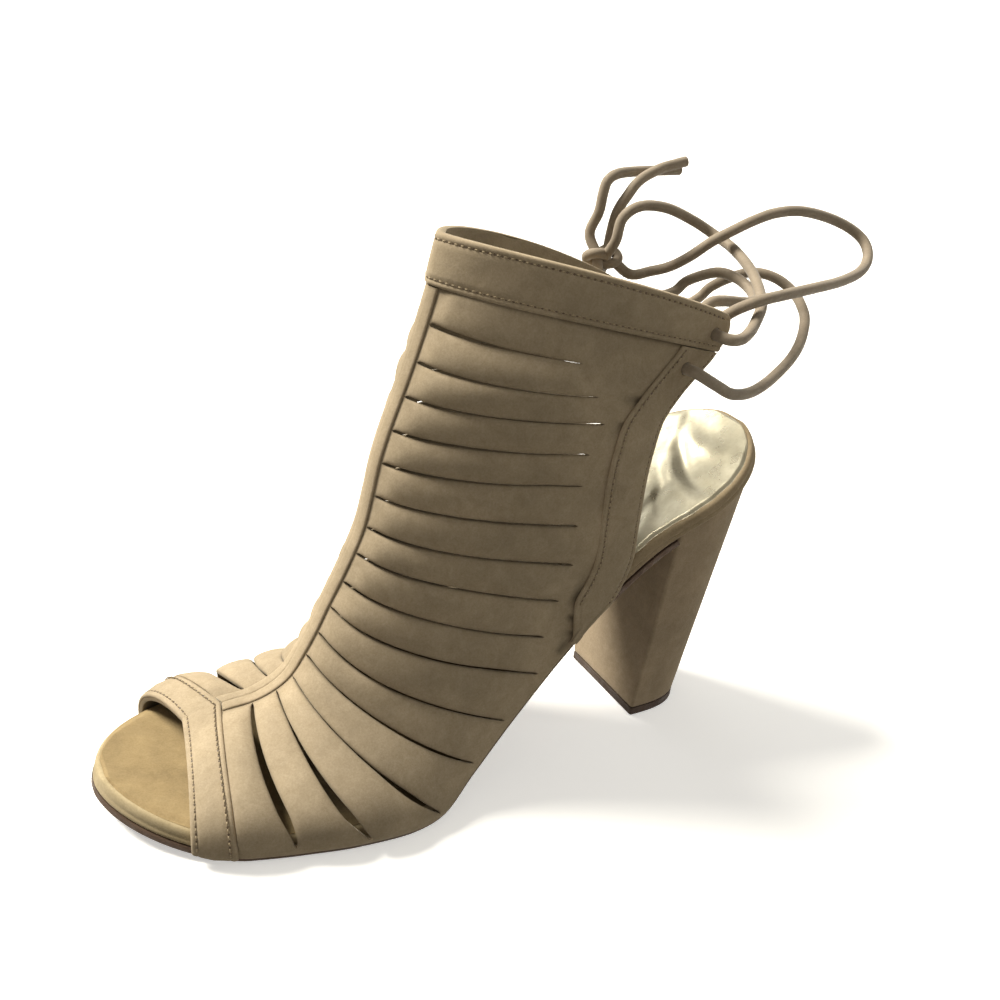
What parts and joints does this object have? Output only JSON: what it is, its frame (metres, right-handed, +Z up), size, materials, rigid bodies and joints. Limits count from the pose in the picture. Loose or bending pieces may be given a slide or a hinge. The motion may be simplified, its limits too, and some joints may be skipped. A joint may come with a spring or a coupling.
{
  "type": "lace up heeled sandal",
  "caption": "Open-toe sandal bootie on a high block heel, with a slit strap upper, an open heel between two bands and one lace round the ankle.",
  "frame": {"origin": "on the floor under the ball of the foot, on the middle of the forefoot's flat tread", "axes": "+Z up, -X towards the toe, +X towards the heel, -Y to the wearer's outer side of this left shoe"},
  "size_m": [0.2615, 0.0903, 0.1847],
  "materials": {
    "faux_suede": "napped faux suede",
    "footbed_wrap": "matte wrap",
    "toe_lining": "matte napped",
    "heel_cover": "napped faux suede",
    "metallic_sock": "metallic coated",
    "outsole_brown": "matte",
    "lift_brown": "matte",
    "lace_cord": "soft round cord"
  },
  "bodies": {
    "root": {"upper": "faux_suede", "toe_band": "faux_suede", "collar_band": "faux_suede", "back_band_outer": "faux_suede", "back_band_inner": "faux_suede", "centre_strip": "faux_suede", "insole_board": "footbed_wrap", "toe_lining": "toe_lining", "heel_sock": "metallic_sock", "outsole": "outsole_brown", "heel_block": "heel_cover", "heel_top_lift": "lift_brown", "lace_bar": "lace_cord", "lace_loop_a": "lace_cord", "lace_loop_b": "lace_cord", "lace_loop_c": "lace_cord", "lace_loop_d": "lace_cord", "lace_knot": "lace_cord", "lace_end_1": "lace_cord", "lace_end_2": "lace_cord"}
  },
  "joints": []
}
